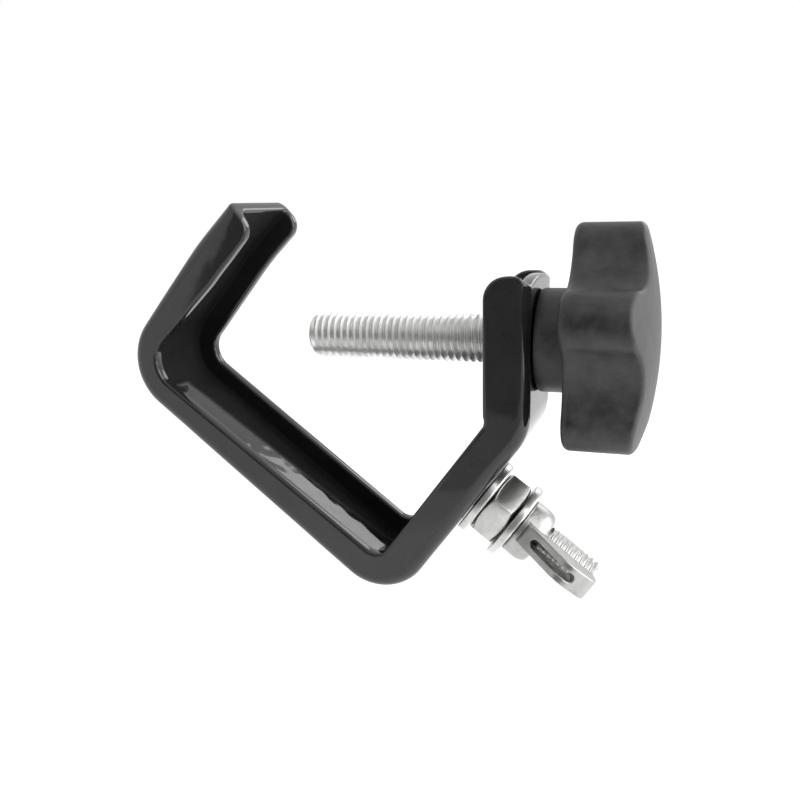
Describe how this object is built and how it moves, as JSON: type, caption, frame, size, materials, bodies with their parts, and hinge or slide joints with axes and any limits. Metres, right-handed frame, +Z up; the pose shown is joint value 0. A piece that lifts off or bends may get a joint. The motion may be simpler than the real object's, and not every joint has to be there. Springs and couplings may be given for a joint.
{
  "type": "pipe hook clamp",
  "caption": "Hook clamp for a pipe: a coated channel hook with a star-knob clamp screw, and a threaded bolt with washers and a wing nut that carries a fixture's yoke.",
  "frame": {"origin": "centre of the tube that the hook is made for, on its axis, in the middle of the channel's width", "axes": "+X along the clamp screw towards its knob, +Z up with the hook's mouth at the top, +Y across the channel along the tube"},
  "size_m": [0.1347, 0.0533, 0.1004],
  "materials": {
    "black_coating": "thick glossy black dip coating over pressed steel",
    "black_plastic": "fine matte moulded plastic",
    "bright_zinc": "bright zinc plating"
  },
  "bodies": {
    "hook": {"hook_channel": "black_coating", "clamp_nut": "bright_zinc", "mounting_bolt": "bright_zinc", "bar_washer": "bright_zinc", "hex_nut": "bright_zinc"},
    "screw": {"clamp_screw": "bright_zinc"},
    "knob": {"knob_body": "black_plastic"},
    "loose_washer": {"yoke_washer": "bright_zinc"},
    "wing": {"wing_nut": "bright_zinc"}
  },
  "joints": [
    {"name": "screw_travel", "type": "slide", "parent": "hook", "child": "screw", "axis": [1, 0, 0], "range_m": [0, 0.0438]},
    {"name": "knob_spin", "type": "hinge", "parent": "screw", "child": "knob", "pos_m": [0.0812, 0, 0.004], "axis": [1, 0, 0], "range_deg": [0, 9000]},
    {"name": "washer_travel", "type": "slide", "parent": "hook", "child": "loose_washer", "axis": [0.803, 0, -0.5959], "range_m": [0, 0.0121]},
    {"name": "wing_spin", "type": "hinge", "parent": "loose_washer", "child": "wing", "pos_m": [0.06138, 0, -0.0436], "axis": [0.803, 0, -0.5959], "range_deg": [0, 2880]}
  ],
  "couplings": [
    {"joint": "screw_travel", "follows": "knob_spin", "m_per_rad": 0.00027852},
    {"joint": "washer_travel", "follows": "wing_spin", "m_per_rad": 0.00023873}
  ]
}
